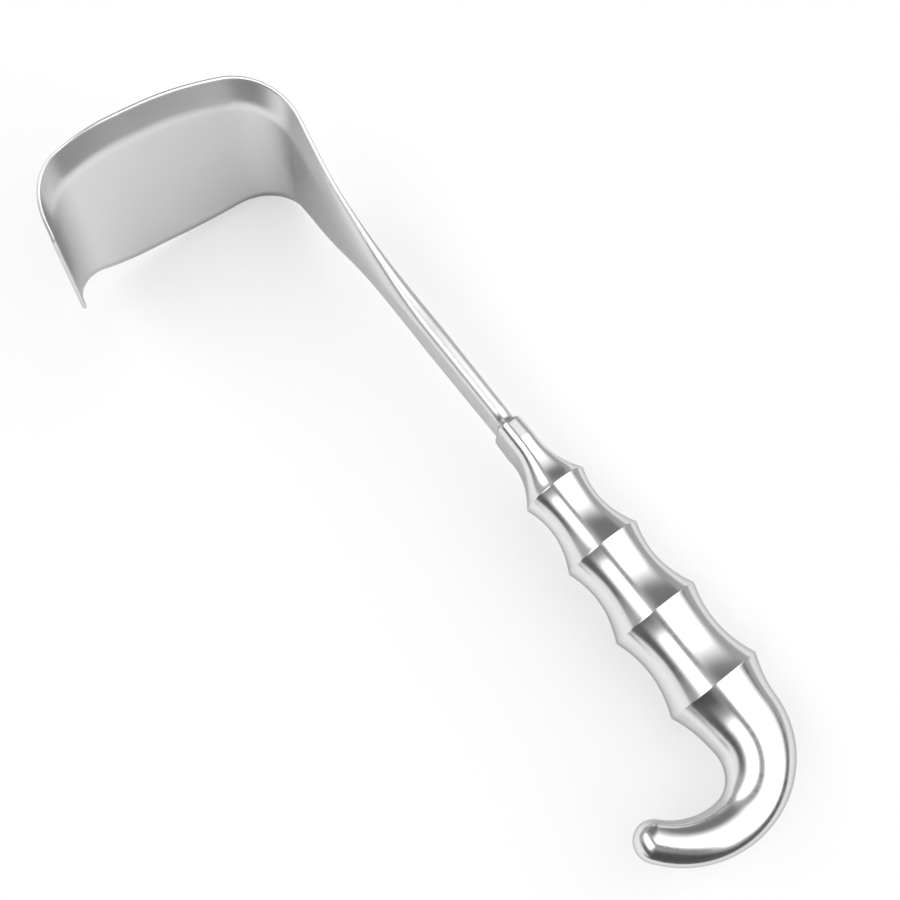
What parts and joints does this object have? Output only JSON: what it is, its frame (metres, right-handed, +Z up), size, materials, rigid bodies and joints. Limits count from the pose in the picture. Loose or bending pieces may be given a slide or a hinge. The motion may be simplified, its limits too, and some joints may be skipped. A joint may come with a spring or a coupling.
{
  "type": "handheld surgical retractor",
  "caption": "Handheld surgical retractor: broad saddle blade with a turned lip on a flared round shank, and a scalloped steel grip that ends in a palm hook.",
  "frame": {"origin": "on the table, straight below the middle of the grip's rim, where the shank enters the grip", "axes": "+X along the shank towards the blade, +Y the way the blade and the palm hook point, +Z up from the table; the instrument lies on its side as it comes to rest"},
  "size_m": [0.2675, 0.0956, 0.0822],
  "materials": {
    "blade_steel": "satin",
    "grip_steel": "fine satin, nearly polished"
  },
  "bodies": {
    "root": {"blade_and_shank": "blade_steel", "hooked_grip": "grip_steel"}
  },
  "joints": []
}
